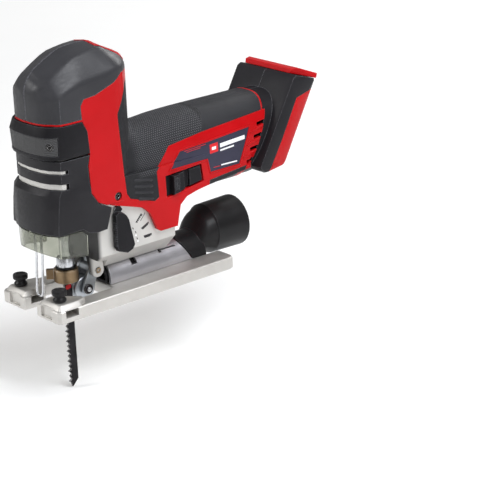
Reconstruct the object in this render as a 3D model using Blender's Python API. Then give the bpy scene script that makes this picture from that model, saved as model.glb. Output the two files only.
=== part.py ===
"""Cordless barrel-grip jigsaw, shown without its battery, with the blade at the bottom of its stroke.

Sizes are millimetres until an object is made. X is across the tool (+X its left side), Y runs back
from the front edge of the sole and Z is up from the sole's underside. Objects are made in metres,
with the origin on the underside of the sole, DATUM_Y behind its front edge.
"""

import math

import bmesh
import bpy
from mathutils import Matrix, Vector

MM = 0.001
DATUM_Y = 80.0
GAP = 0.3

# Driving sizes
SOLE_HALF = 35.5
SOLE_LENGTH = 164.0
SOLE_TOP = 9.5
BLADE_Y = 33.0
BEVEL_Z = 10.0
SADDLE_RADIUS = 16.6
MOTOR_Z = 94.0
GEAR_Z = 115.6
CRANK_RADIUS = 13.0
BODY_HALF = 27.0
WALL = 2.8
SKIN = 1.6
RING_LEAN = math.tan(math.radians(24.0))
RING_Y, RING_Z = 213.0, 126.0
RING_STEP = 2.5
FOOT_LEAN = math.tan(math.radians(30.0))
FOOT_Y, FOOT_Z = 230.5, 134.5
FOOT_HALF = 33.5
KNOB_X, KNOB_Y = 24.0, 9.2
PIVOT_Y, PIVOT_Z = 53.0, 22.0
ROLLER_Y, ROLLER_Z = 46.3, 8.0
LEVER_Y, LEVER_Z = 65.0, 68.0
SPOUT_Z = 23.5
SPOUT_RADIUS = 20.0

# Colour, roughness, metallic
FINISHES = {
    "red_plastic": ((0.53, 0.012, 0.022), 0.42, 0.0),
    "dark_plastic": ((0.030, 0.030, 0.034), 0.55, 0.0),
    "rubber": ((0.022, 0.022, 0.025), 0.75, 0.0),
    "label": ((0.028, 0.026, 0.050), 0.45, 0.0),
    "clear_plastic": ((0.42, 0.45, 0.40), 0.12, 0.0),
    "cast_aluminium": ((0.58, 0.57, 0.54), 0.42, 0.9),
    "sheet_aluminium": ((0.52, 0.50, 0.53), 0.35, 0.9),
    "steel": ((0.62, 0.63, 0.64), 0.25, 1.0),
    "black_steel": ((0.020, 0.019, 0.020), 0.40, 0.6),
    "bronze": ((0.36, 0.27, 0.18), 0.38, 0.85),
    "copper": ((0.55, 0.25, 0.12), 0.35, 1.0),
    "circuit_green": ((0.03, 0.16, 0.07), 0.50, 0.0),
}


# ---- shape helpers: every shape is a closed bmesh in millimetres ----


def loft(sections):
    """A closed body through loops of (x, y, z) points that all have the same number of points."""
    shape = bmesh.new()
    rings = [[shape.verts.new(point) for point in section] for section in sections]
    count = len(rings[0])
    for lower, upper in zip(rings, rings[1:]):
        for i in range(count):
            j = (i + 1) % count
            shape.faces.new((lower[i], lower[j], upper[j], upper[i]))
    shape.faces.new(reversed(rings[0]))
    shape.faces.new(rings[-1])
    bmesh.ops.recalc_face_normals(shape, faces=shape.faces[:])
    return shape


def along_x(outline, low, high):
    """A side outline of (y, z) points, extruded across the tool."""
    return loft([[(x, y, z) for y, z in outline] for x in (low, high)])


def along_y(outline, low, high):
    return loft([[(x, y, z) for x, z in outline] for y in (low, high)])


def along_z(outline, low, high):
    return loft([[(x, y, z) for x, y in outline] for z in (low, high)])


def box(x_low, x_high, y_low, y_high, z_low, z_high):
    corners = [(x_low, y_low), (x_high, y_low), (x_high, y_high), (x_low, y_high)]
    return along_z(corners, z_low, z_high)


def turned(profile, centre, axis, steps=24):
    """A body of revolution: (radius, distance along the axis) pairs, starting and ending off the axis."""
    turns = {
        "x": Matrix.Rotation(math.pi / 2, 3, "Y"),
        "y": Matrix.Rotation(-math.pi / 2, 3, "X"),
        "z": Matrix.Identity(3),
    }
    sections = []
    for radius, height in profile:
        ring = []
        for i in range(steps):
            angle = 2 * math.pi * i / steps
            point = Vector((radius * math.cos(angle), radius * math.sin(angle), height))
            ring.append(turns[axis] @ point + Vector(centre))
        sections.append(ring)
    return loft(sections)


def rod(centre, axis, radius, low, high, steps=24):
    return turned([(radius, low), (radius, high)], centre, axis, steps)


def tube_along(points, radius, steps=8):
    """A round bar that follows a path lying in one plane of constant side direction."""
    path = [Vector(point) for point in points]
    sections = []
    for i, point in enumerate(path):
        before = path[max(i - 1, 0)]
        after = path[min(i + 1, len(path) - 1)]
        forward = (after - before).normalized()
        side = forward.cross(Vector((0.0, 1.0, 0.05))).normalized()
        other = forward.cross(side)
        angles = [2 * math.pi * k / steps for k in range(steps)]
        sections.append([point + (side * math.cos(a) + other * math.sin(a)) * radius for a in angles])
    return loft(sections)


def as_object(shape):
    bmesh.ops.triangulate(shape, faces=shape.faces[:])
    mesh = bpy.data.meshes.new("work")
    shape.to_mesh(mesh)
    shape.free()
    work = bpy.data.objects.new("work", mesh)
    bpy.context.scene.collection.objects.link(work)
    return work


def combine(operation, base, *others):
    for other in others:
        target, tool = as_object(base), as_object(other)
        step = target.modifiers.new("step", "BOOLEAN")
        step.operation = operation
        step.solver = "EXACT"
        step.object = tool
        graph = bpy.context.evaluated_depsgraph_get()
        base = bmesh.new()
        base.from_mesh(target.evaluated_get(graph).to_mesh())
        for work in (target, tool):
            mesh = work.data
            bpy.data.objects.remove(work)
            bpy.data.meshes.remove(mesh)
        bmesh.ops.remove_doubles(base, verts=base.verts[:], dist=0.001)
        bmesh.ops.dissolve_degenerate(base, edges=base.edges[:], dist=0.001)
    return base


def join(base, *others):
    return combine("UNION", base, *others)


def cut(base, *others):
    return combine("DIFFERENCE", base, *others)


def common(base, *others):
    return combine("INTERSECT", base, *others)


def rounded(shape, width, steps=2, sharper_than=35.0):
    """Rounds every edge whose faces turn by more than sharper_than degrees."""
    limit = math.radians(sharper_than)
    edges = [edge for edge in shape.edges if edge.calc_face_angle(0.0) > limit]
    bmesh.ops.bevel(
        shape, geom=edges, offset=width, segments=steps, profile=0.5, affect="EDGES", clamp_overlap=True
    )
    return shape


def mirrored(shape):
    """The same shape on the tool's other side."""
    other = shape.copy()
    for vertex in other.verts:
        vertex.co.x = -vertex.co.x
    bmesh.ops.reverse_faces(other, faces=other.faces[:])
    return other


def turned_aside(shape, degrees, about):
    """The shape turned about the vertical line through a point."""
    there = Matrix.Translation(Vector(about))
    turn = Matrix.Rotation(math.radians(degrees), 4, "Z")
    bmesh.ops.transform(shape, matrix=there @ turn @ there.inverted(), verts=shape.verts[:])
    return shape


def inset(outline, distance=GAP / 2):
    """The outline moved inwards by distance, so that neighbouring regions leave a gap."""
    points = [Vector(point) for point in outline]
    area = sum(a.x * b.y - b.x * a.y for a, b in zip(points, points[1:] + points[:1]))
    side = 1.0 if area > 0 else -1.0
    moved = []
    for i, point in enumerate(points):
        arrive = (point - points[i - 1]).normalized()
        leave = (points[(i + 1) % len(points)] - point).normalized()
        normal_in = Vector((-arrive.y, arrive.x)) * side
        normal_out = Vector((-leave.y, leave.x)) * side
        middle = (normal_in + normal_out) / (1.0 + normal_in.dot(normal_out))
        moved.append(tuple(point + middle * distance))
    return moved


def region(outline, grow=0.0, low=-60.0, high=60.0):
    return along_x(inset(outline, GAP / 2 - grow), low, high)


def left_half():
    return box(GAP / 2, 80.0, -20.0, 300.0, -100.0, 250.0)


def both_sides(half_outline):
    """A plan outline from its right half, front to back."""
    return half_outline + [(-x, y) for x, y in reversed(half_outline) if x > 0]


def piece(name, shape, finish, pivot=(0.0, 0.0, 0.0), smooth=35.0):
    """Makes the object in metres, with its origin at the pivot."""
    pivot = Vector(pivot)
    for vertex in shape.verts:
        vertex.co = (vertex.co - pivot) * MM
    bmesh.ops.triangulate(shape, faces=[face for face in shape.faces if len(face.verts) > 4])
    bmesh.ops.recalc_face_normals(shape, faces=shape.faces[:])
    mesh = bpy.data.meshes.new(name)
    shape.to_mesh(mesh)
    shape.free()
    for polygon in mesh.polygons:
        polygon.use_smooth = True
    mesh.set_sharp_from_angle(angle=math.radians(smooth))
    made = bpy.data.objects.new(name, mesh)
    made.location = (pivot - Vector((0.0, DATUM_Y, 0.0))) * MM
    bpy.context.scene.collection.objects.link(made)
    mesh.materials.append(finish_material(name, finish))
    return made


def finish_material(name, finish):
    colour, roughness, metallic = FINISHES[finish]
    material = bpy.data.materials.new(f"{name}_finish")
    material.use_nodes = True
    shader = material.node_tree.nodes["Principled BSDF"]
    shader.inputs["Base Color"].default_value = (*colour, 1.0)
    shader.inputs["Roughness"].default_value = roughness
    shader.inputs["Metallic"].default_value = metallic
    return material


# ---- the body's outer form, shared by shells, cap, rubber and labels ----


def flowing(stations, steps):
    """The same stations with steps sections from each to the next, on smooth curves through them."""
    ends = [stations[0]] + stations + [stations[-1]]
    sections = []
    for before, start, end, after in zip(ends, ends[1:], ends[2:], ends[3:]):
        for k in range(steps):
            t = k / steps
            weights = (
                0.5 * (-t + 2 * t**2 - t**3),
                0.5 * (2 - 5 * t**2 + 3 * t**3),
                0.5 * (t + 4 * t**2 - 3 * t**3),
                0.5 * (-(t**2) + t**3),
            )
            columns = zip(before, start, end, after)
            sections.append(tuple(sum(w * v for w, v in zip(weights, column)) for column in columns))
    return sections + [stations[-1]]


def eased(before, corner, after, reach, steps=4):
    """A corner of (x, z) points replaced by a curve that starts and ends reach away from it, or less."""
    middle = Vector(corner)
    start = middle + (Vector(before) - middle) * min(reach / (Vector(before) - middle).length, 0.45)
    end = middle + (Vector(after) - middle) * min(reach / (Vector(after) - middle).length, 0.45)
    curve = []
    for k in range(steps + 1):
        t = k / steps
        curve.append(tuple(start * (1 - t) ** 2 + middle * 2 * t * (1 - t) + end * t**2))
    return curve


def head_form(inside):
    """The upright head: cross-sections from front to back with a soft ridge and a shoulder on each side."""
    stations = [
        # y, half width, crown, ridge x, ridge z, shoulder z
        (8.4, 5.0, 162.0, 3.5, 161.5, 155.0),
        (9.2, 11.0, 165.5, 8.0, 164.0, 156.0),
        (10.8, 17.0, 169.5, 12.0, 166.5, 158.0),
        (14.8, 22.3, 174.2, 14.5, 169.3, 159.5),
        (18.8, 27.0, 177.6, 16.0, 172.0, 161.5),
        (34.8, 27.5, 186.0, 16.5, 181.3, 167.0),
        (44.6, 27.5, 188.4, 16.3, 184.4, 168.0),
        (62.0, 27.5, 189.2, 15.5, 186.8, 170.5),
        (69.5, 27.0, 185.9, 14.5, 184.0, 173.0),
        (76.0, 24.5, 182.6, 13.0, 181.0, 173.0),
        (84.0, 17.0, 178.7, 10.0, 177.5, 172.0),
        (89.0, 8.5, 176.2, 5.0, 175.5, 171.5),
    ]
    front, back = stations[0][0] + inside, stations[-1][0] - inside
    low = 75.0 + inside
    sections = []
    for y, half, crown, ridge_x, ridge_z, shoulder in flowing(stations, 2):
        y = min(max(y, front), back)
        half = max(half - inside, 2.0)
        base = (half, low)
        side = (half, shoulder - inside)
        ridge = (min(ridge_x, 0.7 * half), ridge_z - inside)
        top = (0.0, crown - inside)
        right = [base] + eased(base, side, ridge, 3.0) + eased(side, ridge, top, 2.5)
        ring = right + [top] + [(-x, z) for x, z in reversed(right)]
        sections.append([(x, y, z) for x, z in ring])
    return loft(spread(sections))


def spread(sections):
    """Keeps stations apart where the inset has pushed the end ones together."""
    kept = [sections[0]]
    for section in sections[1:]:
        if section[0][1] - kept[-1][0][1] > 0.6:
            kept.append(section)
    return kept


def barrel_form(inside):
    """The grip barrel behind the head, an upright oval with a rounded top."""
    stations = [
        # y, half width, bottom, top
        (60.0, 24.0, 76.0, 128.0),
        (84.0, 24.5, 66.0, 123.0),
        (98.0, 25.0, 63.0, 122.0),
        (122.0, 26.0, 61.5, 123.8),
        (146.0, BODY_HALF, 61.0, 124.3),
        (236.0, BODY_HALF, 61.0, 124.3),
    ]
    steps = 40
    sections = []
    for y, half, low, high in flowing(stations[:-1], 2) + stations[-1:]:
        half, low, high = half - inside, low + inside, high - inside
        middle, reach = 0.5 * (low + high), 0.5 * (high - low)
        ring = []
        for i in range(steps):
            angle = 2 * math.pi * (i + 0.5) / steps
            across, up = math.cos(angle), math.sin(angle)
            x = half * math.copysign(abs(across) ** 0.72, across)
            z = middle + reach * math.copysign(abs(up) ** 0.86, up)
            ring.append((x, y, z))
        sections.append(ring)
    return loft(sections)


SKIRT_SIDE = [
    (57.0, 74.0), (85.0, 65.5), (92.0, 59.5), (98.0, 45.5), (101.0, 43.5), (117.0, 43.5), (118.5, 50.0),
    (120.7, 59.1), (127.0, 64.0), (137.5, 66.4), (148.2, 67.8), (190.0, 71.8), (190.0, 92.0),
    (57.0, 92.0),
]


def skirt_form(inside):
    """The flat-sided skirt along the bottom of the body, deepest where it reaches down over the gear case."""
    half = BODY_HALF - inside
    return along_x(inset(SKIRT_SIDE, inside), -half, half)


FORMS = {}


def body_form(inside=0.0):
    """The whole body, every face moved inwards by inside."""
    if inside not in FORMS:
        FORMS[inside] = join(head_form(inside), barrel_form(inside), skirt_form(inside))
    return FORMS[inside].copy()


def ring_y(z, offset=0.0):
    """Y of the plane where the barrel ends, which leans back as it rises."""
    return RING_Y + offset + (z - RING_Z) * RING_LEAN


def foot_y(z, offset=0.0):
    """Y of the battery foot's front face, or of a plane behind it."""
    return FOOT_Y + offset + (z - FOOT_Z) * FOOT_LEAN


def foot_slab(z_low, z_high, front, back):
    """A side outline (y, z) of a slab that leans with the foot, between two offsets from its front face."""
    return [
        (foot_y(z_low, front), z_low), (foot_y(z_low, back), z_low), (foot_y(z_high, back), z_high),
        (foot_y(z_high, front), z_high)
    ]


def ring_slab(z_low, z_high, front, back):
    return [
        (ring_y(z_low, front), z_low), (ring_y(z_low, back), z_low), (ring_y(z_high, back), z_high),
        (ring_y(z_high, front), z_high)
    ]


# Side outlines, (y, z)
CAP_EDGE = [
    (36.5, 141.5), (36.0, 151.0), (39.0, 155.5), (49.0, 156.5), (66.0, 162.5), (74.0, 168.0),
    (100.0, 168.0)
]
CAP_SIDE = [(0.0, 141.5)] + CAP_EDGE + [(100.0, 200.0), (0.0, 200.0)]
SHELL_REAR = [
    (ring_y(168.0), 168.0), (ring_y(113.0), 113.0), (ring_y(113.0, RING_STEP), 113.0),
    (ring_y(30.0, RING_STEP), 30.0),
]
SHELL_SIDE = CAP_EDGE + SHELL_REAR + [
    (90.0, 30.0), (57.6, 73.0), (46.0, 78.5), (40.5, 87.0), (39.5, 107.0), (41.5, 116.0), (40.0, 133.0),
    (36.5, 140.0), (0.0, 140.0), (0.0, 141.5),
]
GRIP_SIDE = [
    (79.0, 159.0), (67.5, 139.0), (68.0, 130.0), (72.0, 79.0), (75.0, 74.5), (97.0, 67.5),
    (101.0, 69.5),
    (100.0, 89.0), (114.0, 105.0), (145.0, 109.0), (152.0, 122.0), (150.0, 135.0), (150.0, 166.0),
    (95.0, 166.0),
]
SKIN_SIDE = [
    (145.0, 109.0), (ring_y(113.0, -1.5), 113.0), (ring_y(140.0, -1.5), 140.0), (150.0, 140.0),
    (150.0, 135.0), (152.0, 122.0),
]
LABEL_SIDE = [(123.0, 99.0), (190.3, 103.6), (178.8, 77.3), (150.4, 77.2), (148.2, 88.0), (112.5, 87.5)]
SWITCH_SIDE = [(107.5, 84.0), (142.0, 86.0), (144.0, 72.0), (108.0, 66.8)]
BELLY_SIDE = [(146.5, 55.0), (ring_y(55.0, -4.0), 55.0), (ring_y(74.6, -4.0), 74.6), (149.5, 71.3)]
SHROUD_SIDE = [
    (-5.0, 61.5), (31.0, 62.5), (36.0, 58.5), (44.0, 57.0), (52.0, 57.5), (57.0, 73.0), (46.0, 78.0),
    (40.0, 87.0), (39.0, 107.0), (41.0, 115.0), (-5.0, 115.0),
]
BAND_SIDE = [(-5.0, 115.5), (41.2, 116.5), (39.6, 133.0), (36.0, 140.0), (-5.0, 140.0)]
FOOT_SIDE = [
    (194.0, 71.0), (230.5, 134.5), (235.0, 137.5), (255.0, 131.0), (220.0, 67.8), (200.5, 65.0)
]
FOOT_PANEL_SIDE = [(257.0, 124.6), (233.0, 118.6), (217.5, 90.0), (203.0, 66.0), (224.0, 68.5)]
RIM_SIDE = [(233.5, 136.4), (234.5, 139.8), (240.0, 139.9), (255.5, 133.6), (254.2, 129.8)]
RIM_PLAN = [(-24.5, 230.0), (24.5, 230.0), (33.2, 254.5), (33.2, 260.0), (-33.2, 260.0), (-33.2, 254.5)]


def skin_layer(outer, inner, outline, gap):
    """What lies between two depths of the body inside a side outline."""
    return common(cut(body_form(outer), body_form(inner)), region(outline, gap))


def pocket(outline, depth):
    return skin_layer(-0.8, depth, outline, GAP)


def inlay(outline, depth):
    return skin_layer(0.0, depth - GAP, outline, 0.0)


def both_halves(name, shape, finish):
    """The left half of a symmetric shape and its mirror image, as two pieces."""
    half = common(shape, left_half())
    piece(f"{name}_right", mirrored(half), finish)
    piece(f"{name}_left", half, finish)


def vent_slots():
    """Four cooling slots at the rear of each shell."""
    slots = []
    for i in range(4):
        z = 104.0 - 9.0 * i
        y = ring_y(z, -1.0)
        slots.append(
            along_x(
                [(y - 4.0, z - 2.0), (y + 4.0, z - 1.0), (y + 4.0, z + 2.2), (y - 4.0, z + 1.2)], -60.0,
                60.0
            )
        )
    return slots


def build_shells():
    """Two red clamshell halves, recessed where rubber, labels and the belly strip sit."""
    opening = along_x(
        [(38.0, 80.0), (38.0, 50.0), (86.0, 50.0), (100.5, 38.0), (117.0, 38.0), (117.0, 80.0)], -24.2,
        24.2
    )
    core = cut(common(body_form(), region(SHELL_SIDE)), body_form(WALL), opening)
    core = cut(
        core, pocket(GRIP_SIDE, SKIN), pocket(SKIN_SIDE, SKIN), pocket(BELLY_SIDE, SKIN),
        pocket(LABEL_SIDE, 1.0)
    )
    core = common(cut(core, *vent_slots()), left_half())
    piece("shell_right", mirrored(core), "red_plastic")
    screw_hole = rod((0.0, 64.0, 79.0), "x", 3.3, 20.0, 60.0, 16)
    piece("shell_left", cut(core, region(SWITCH_SIDE, 0.0, 0.0, 60.0), screw_hole), "red_plastic")
    both_halves("grip", inlay(GRIP_SIDE, SKIN), "rubber")
    both_halves("barrel_skin", inlay(SKIN_SIDE, SKIN), "dark_plastic")
    piece("belly_strip", inlay(BELLY_SIDE, SKIN), "dark_plastic")
    label = common(inlay(LABEL_SIDE, 1.0), left_half())
    piece("label_right", mirrored(label), "label")
    piece("label_left", label, "label")
    head = [(2.9, 24.4), (2.9, 26.6), (2.2, 27.0)]
    piece(
        "shell_screw",
        join(
            turned(head, (0.0, 64.0, 79.0), "x", 16), rod((0.0, 64.0, 79.0), "x", 1.5, 24.3, 25.0, 10)
        ),
        "black_steel"
    )


def build_cap():
    """The grey cap over the head, in two halves, with a red plate let into its sloping rear top."""
    plate_box = box(-12.0, 12.0, 62.0, 86.5, 172.0, 200.0)
    seat_box = box(-12.3, 12.3, 61.7, 86.8, 171.7, 200.0)
    seat = common(cut(body_form(-0.8), body_form(SKIN)), seat_box)
    cap = cut(common(body_form(), region(CAP_SIDE)), body_form(WALL), seat)
    both_halves("cap", cap, "dark_plastic")
    piece("cap_plate", common(cut(body_form(-0.5), body_form(SKIN - GAP)), plate_box), "red_plastic")


def front_form(levels, inside=0.0):
    """A band round the front of the head, open at the back: a front facet and a chamfer to each side.

    Each level is (z, y of the front, half width, y where the chamfer meets the side).
    """
    sections = []
    for z, front, half, corner in levels:
        plan = [
            (0.0, front), (0.45 * half, front + 1.0), (0.72 * half, front + 3.2),
            (0.80 * half, front + 5.0),
            (0.98 * half, corner - 1.5), (half, corner + 1.5), (half, 60.0),
        ]
        outline = [(max(x - inside, 0.0), y + inside * (y < 60.0)) for x, y in plan]
        sections.append([(x, y, z) for x, y in both_sides(outline)])
    return loft(sections)


BAND_LEVELS = [
    (114.0, 7.0, 27.2, 19.0), (118.0, 5.4, 28.3, 18.6), (133.0, 4.6, 28.9, 18.8),
    (141.0, 7.6, 27.9, 19.8)
]
FRONT_HOLLOW = (10.6, 25.2, 20.0)
PAD_SCREW = (23.3, 10.4, 125.8)


def pad_hole():
    return turned_aside(rod(PAD_SCREW, "y", 3.0, -8.0, 3.2, 20), 45.0, PAD_SCREW)


def build_front():
    """Band with its rubber pad, slotted shroud and clear cover round the front of the head."""
    band = common(front_form(BAND_LEVELS), region(BAND_SIDE))
    band = cut(band, front_form([(100.0, *FRONT_HOLLOW), (150.0, *FRONT_HOLLOW)]))
    recess = cut(front_form(BAND_LEVELS, -3.0), front_form(BAND_LEVELS, 1.6))
    recess = common(recess, box(-27.0, 27.0, -5.0, 15.5, 119.2, 132.8))
    pad = cut(front_form(BAND_LEVELS, 0.2), front_form(BAND_LEVELS, 1.3))
    pad = common(pad, box(-26.7, 26.7, -5.0, 15.2, 119.5, 132.5))
    piece("front_band", cut(band, recess, pad_hole()), "dark_plastic")
    piece("band_pad", cut(pad, pad_hole()), "rubber")
    screw = rod(PAD_SCREW, "y", 2.6, 1.0, 2.9, 16)
    piece("band_screw", turned_aside(screw, 45.0, PAD_SCREW), "black_steel")
    shroud_levels = [
        (50.0, 4.0, 28.0, 11.0), (67.0, 4.0, 28.5, 11.7), (79.0, 4.2, 28.5, 12.7),
        (90.5, 5.0, 28.5, 14.4),
        (94.5, 8.0, 27.6, 17.5), (115.5, 8.0, 27.6, 17.5),
    ]
    hollow = [
        (40.0, 7.0, 25.4, 15.0), (84.0, 7.0, 25.4, 15.0), (92.0, *FRONT_HOLLOW), (130.0, *FRONT_HOLLOW)
    ]
    shroud = cut(common(front_form(shroud_levels), region(SHROUD_SIDE)), front_form(hollow))
    slots = [box(-40.0, 40.0, -5.0, 22.0, low, high) for low, high in ((94.2, 98.6), (105.6, 108.3))]
    piece("shroud", cut(shroud, *slots), "dark_plastic")
    build_clear_cover()


def build_clear_cover():
    outer = front_form([(40.0, 5.0, 25.0, 14.0), (60.8, 4.5, 26.0, 13.5)])
    outer = cut(outer, front_form([(35.0, 6.8, 23.4, 15.5), (70.0, 6.3, 24.4, 15.0)]))
    keep = along_x(
        [(0.0, 60.6), (0.0, 49.0), (14.0, 43.5), (36.0, 41.0), (36.0, 56.5), (30.8, 60.6)], -40.0, 40.0
    )
    piece("clear_cover", common(outer, keep), "clear_plastic")


def build_foot():
    """The block that takes the battery: two halves, a red panel on each side and a red rim."""
    block = rounded(along_x(FOOT_SIDE, -FOOT_HALF, FOOT_HALF), 3.5, 2)
    panel_x = FOOT_HALF - 2.2
    collar_side = [(ring_y(140.0, 14.0), 140.0), (ring_y(50.0, 14.0), 50.0)] + SHELL_REAR[::-1]
    collar = common(body_form(0.8), region(collar_side))
    bore = common(body_form(4.0), along_x(ring_slab(50.0, 140.0, -5.0, 9.0), -50.0, 50.0))
    slot = along_x(foot_slab(60.0, 124.0, 9.0, 40.0), -28.5, 28.5)
    mouth = along_x(foot_slab(60.0, 124.0, 19.0, 50.0), -25.0, 25.0)
    rails = [
        along_x(foot_slab(50.0, 130.0, 17.5, 50.0), *sorted((side * 25.0, side * 31.0)))
        for side in (-1.0, 1.0)
    ]
    block = cut(join(block, collar), bore, cut(slot, *rails), mouth)
    block = cut(
        block, region(FOOT_PANEL_SIDE, GAP, panel_x - GAP, 60.0),
        region(FOOT_PANEL_SIDE, GAP, -60.0, GAP - panel_x), region(RIM_SIDE, 1.6 * GAP)
    )
    both_halves("foot", block, "dark_plastic")
    panel = common(
        rounded(along_x(FOOT_SIDE, -FOOT_HALF, FOOT_HALF), 3.5, 2),
        region(FOOT_PANEL_SIDE, 0.0, panel_x, 60.0)
    )
    piece("foot_panel_right", mirrored(panel), "red_plastic")
    piece("foot_panel_left", panel, "red_plastic")
    rim = common(along_x(RIM_SIDE, -40.0, 40.0), along_z(RIM_PLAN, 100.0, 160.0))
    piece("foot_rim", rounded(rim, 0.8, 1), "red_plastic")
    build_terminals()


def build_terminals():
    """The terminal block in the battery slot, with a comb of four contact blades through it."""
    block = along_x(foot_slab(80.0, 112.0, 10.6, 14.5), -16.0, 16.0)
    piece("terminal_block", cut(block, *contact_blades(GAP)), "dark_plastic")
    bar = along_x(foot_slab(90.0, 96.0, 9.3, 10.3), -13.0, 13.0)
    piece("contact_blades", join(bar, *contact_blades(0.0)), "copper")


def contact_blades(grow):
    blades = []
    for x in (-12.0, -4.0, 4.0, 12.0):
        side = foot_slab(86.0 - grow, 104.0 + grow, 9.5 - 3 * grow, 18.0 + 3 * grow)
        blades.append(along_x(side, x - 0.6 - grow, x + 0.6 + grow))
    return blades


def build_switch():
    """The slide switch in the left shell: a fixed plate with a stop rib and the slider in front of it."""
    plate = rounded(along_x(inset(SWITCH_SIDE, 0.4), 22.6, 24.6), 0.4, 1)
    stop = along_x([(130.0, 71.5), (142.0, 73.4), (140.7, 84.6), (130.0, 84.0)], 24.0, 27.2)
    piece("switch_plate", join(plate, rounded(stop, 0.5, 1)), "dark_plastic")
    slider = [(113.5, 68.5), (125.0, 70.3), (124.5, 84.2), (113.2, 83.4)]
    piece(
        "switch_slider", rounded(along_x(slider, 24.9, 30.2), 0.9, 2), "dark_plastic",
        pivot=(25.0, 118.0, 76.5)
    )


def build_motor():
    """Motor inside the barrel: stator, rotor with its pinion, fan, two bearings, rear plate, board."""
    axis = (0.0, 0.0, MOTOR_Z)
    stator = cut(rod(axis, "y", 20.5, 108.0, 150.0, 32), rod(axis, "y", 12.4, 100.0, 160.0, 32))
    piece("stator", stator, "black_steel")
    rotor = [
        (3.4, 44.5), (3.4, 54.0), (2.5, 54.1), (2.5, 109.9), (11.6, 110.0), (11.6, 148.0), (2.5, 148.1),
        (2.5, 178.0)
    ]
    piece("rotor", turned(rotor, axis, "y", 20), "steel", pivot=(0.0, 120.0, MOTOR_Z))
    hub = cut(rod(axis, "y", 6.0, 155.0, 163.0, 20), rod(axis, "y", 2.8, 150.0, 170.0, 20))
    disc = cut(rod(axis, "y", 18.5, 161.0, 163.0, 32), rod(axis, "y", 5.0, 150.0, 170.0, 20))
    blades = []
    for i in range(9):
        blade = box(5.0, 18.0, 155.5, 161.5, -0.7, 0.7)
        turn = Matrix.Rotation(2 * math.pi * i / 9, 4, "Y")
        bmesh.ops.transform(blade, matrix=Matrix.Translation(axis) @ turn, verts=blade.verts[:])
        blades.append(blade)
    piece("fan", join(hub, disc, *blades), "dark_plastic", pivot=(0.0, 159.0, MOTOR_Z))
    for name, low, high in (("bearing_front", 67.0, 74.0), ("bearing_rear", 168.5, 173.5)):
        ring = cut(rod(axis, "y", 7.5, low, high, 24), rod(axis, "y", 2.8, low - 5, high + 5, 20))
        piece(name, ring, "steel")
    plate = cut(rod(axis, "y", 21.5, 168.5, 173.5, 32), rod(axis, "y", 7.8, 160.0, 180.0, 24))
    piece("bearing_plate", plate, "dark_plastic")
    board = join(
        box(-17.0, 17.0, 179.5, 181.3, 82.0, 114.0), box(-12.0, -4.0, 181.0, 187.0, 92.0, 108.0),
        box(2.0, 12.0, 181.0, 185.0, 96.0, 110.0)
    )
    piece("control_board", board, "circuit_green")


CASE_SIDE = [
    (46.0, 33.0), (50.0, 31.0), (57.0, 31.0), (59.5, 22.5), (116.7, 22.5), (116.7, 60.0),
    (104.0, 70.0), (90.0, 76.0), (46.0, 76.0)
]


def build_gear_case():
    """The aluminium gear case: crank chamber above, pendulum chamber below, hollow bevel seat beneath."""
    case = along_x(CASE_SIDE, -23.6, 23.6)
    for side in (-1.0, 1.0):
        corner = [
            (side * 8.0, 20.0), (side * 23.6, 35.6), (side * 30.0, 35.6), (side * 30.0, 20.0)
        ]
        case = cut(case, along_y(corner, 40.0, 120.0))
    case = join(case, box(-21.0, 21.0, 22.0, 66.0, 64.0, 160.0))
    for side in (-1.0, 1.0):
        case = join(
            case,
            rounded(
                along_x(
                    arm_outline((50.5, 36.0), (PIVOT_Y, PIVOT_Z), 6.0, 5.4),
                    *sorted((side * 8.8, side * 12.0))
                ),
                0.3, 1
            )
        )
    case = cut(
        case, box(-18.3, 18.3, 10.0, 62.5, 68.0, 157.0), box(-20.6, 20.6, 50.0, 113.0, 47.0, 73.0)
    )
    case = cut(
        case, rod((0.0, 0.0, BEVEL_Z), "y", SADDLE_RADIUS + 0.7, 58.9, 130.0, 40),
        box(-6.0, 6.0, 50.4, 60.5, 10.0, 50.0)
    )
    case = cut(
        case, rod((0.0, BLADE_Y, 0.0), "z", 8.3, 60.0, 72.0, 24),
        rod((0.0, BLADE_Y, 0.0), "z", 5.4, 150.0, 165.0, 20)
    )
    case = cut(
        case, rod((0.0, 0.0, MOTOR_Z), "y", 7.8, 60.0, 70.0, 24),
        rod((0.0, 0.0, GEAR_Z), "y", 3.3, 60.0, 70.0, 16)
    )
    case = cut(
        case, rod((0.0, LEVER_Y, LEVER_Z), "x", 3.6, 10.0, 30.0, 16),
        rod((0.0, PIVOT_Y, PIVOT_Z), "x", 2.5, -20.0, 20.0, 16)
    )
    case = cut(case, box(-18.3, 18.3, 52.0, 62.5, 60.0, 80.0))
    piece("gear_case", case, "cast_aluminium")
    cover = front_form([(86.0, 11.0, 24.8, 20.4), (157.0, 11.0, 24.8, 20.4)])
    cover = common(cover, box(-24.0, 24.0, 0.0, 21.7, 87.0, 139.5))
    cover = cut(cover, box(-17.0, 17.0, 15.0, 30.0, 90.0, 136.5))
    piece("gear_cover", cover, "cast_aluminium")


def arm_outline(start, end, start_width, end_width, steps=8):
    """A link between two points with round ends, as (y, z) points; the widths are radii."""
    first, last = Vector(start), Vector(end)
    along = (last - first).normalized()
    base = math.atan2(along.y, along.x)
    outline = []
    for centre, radius, turn in ((last, end_width, -math.pi / 2), (first, start_width, math.pi / 2)):
        for i in range(steps + 1):
            angle = base + turn + math.pi * i / steps
            outline.append((centre.x + radius * math.cos(angle), centre.y + radius * math.sin(angle)))
    return outline


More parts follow.
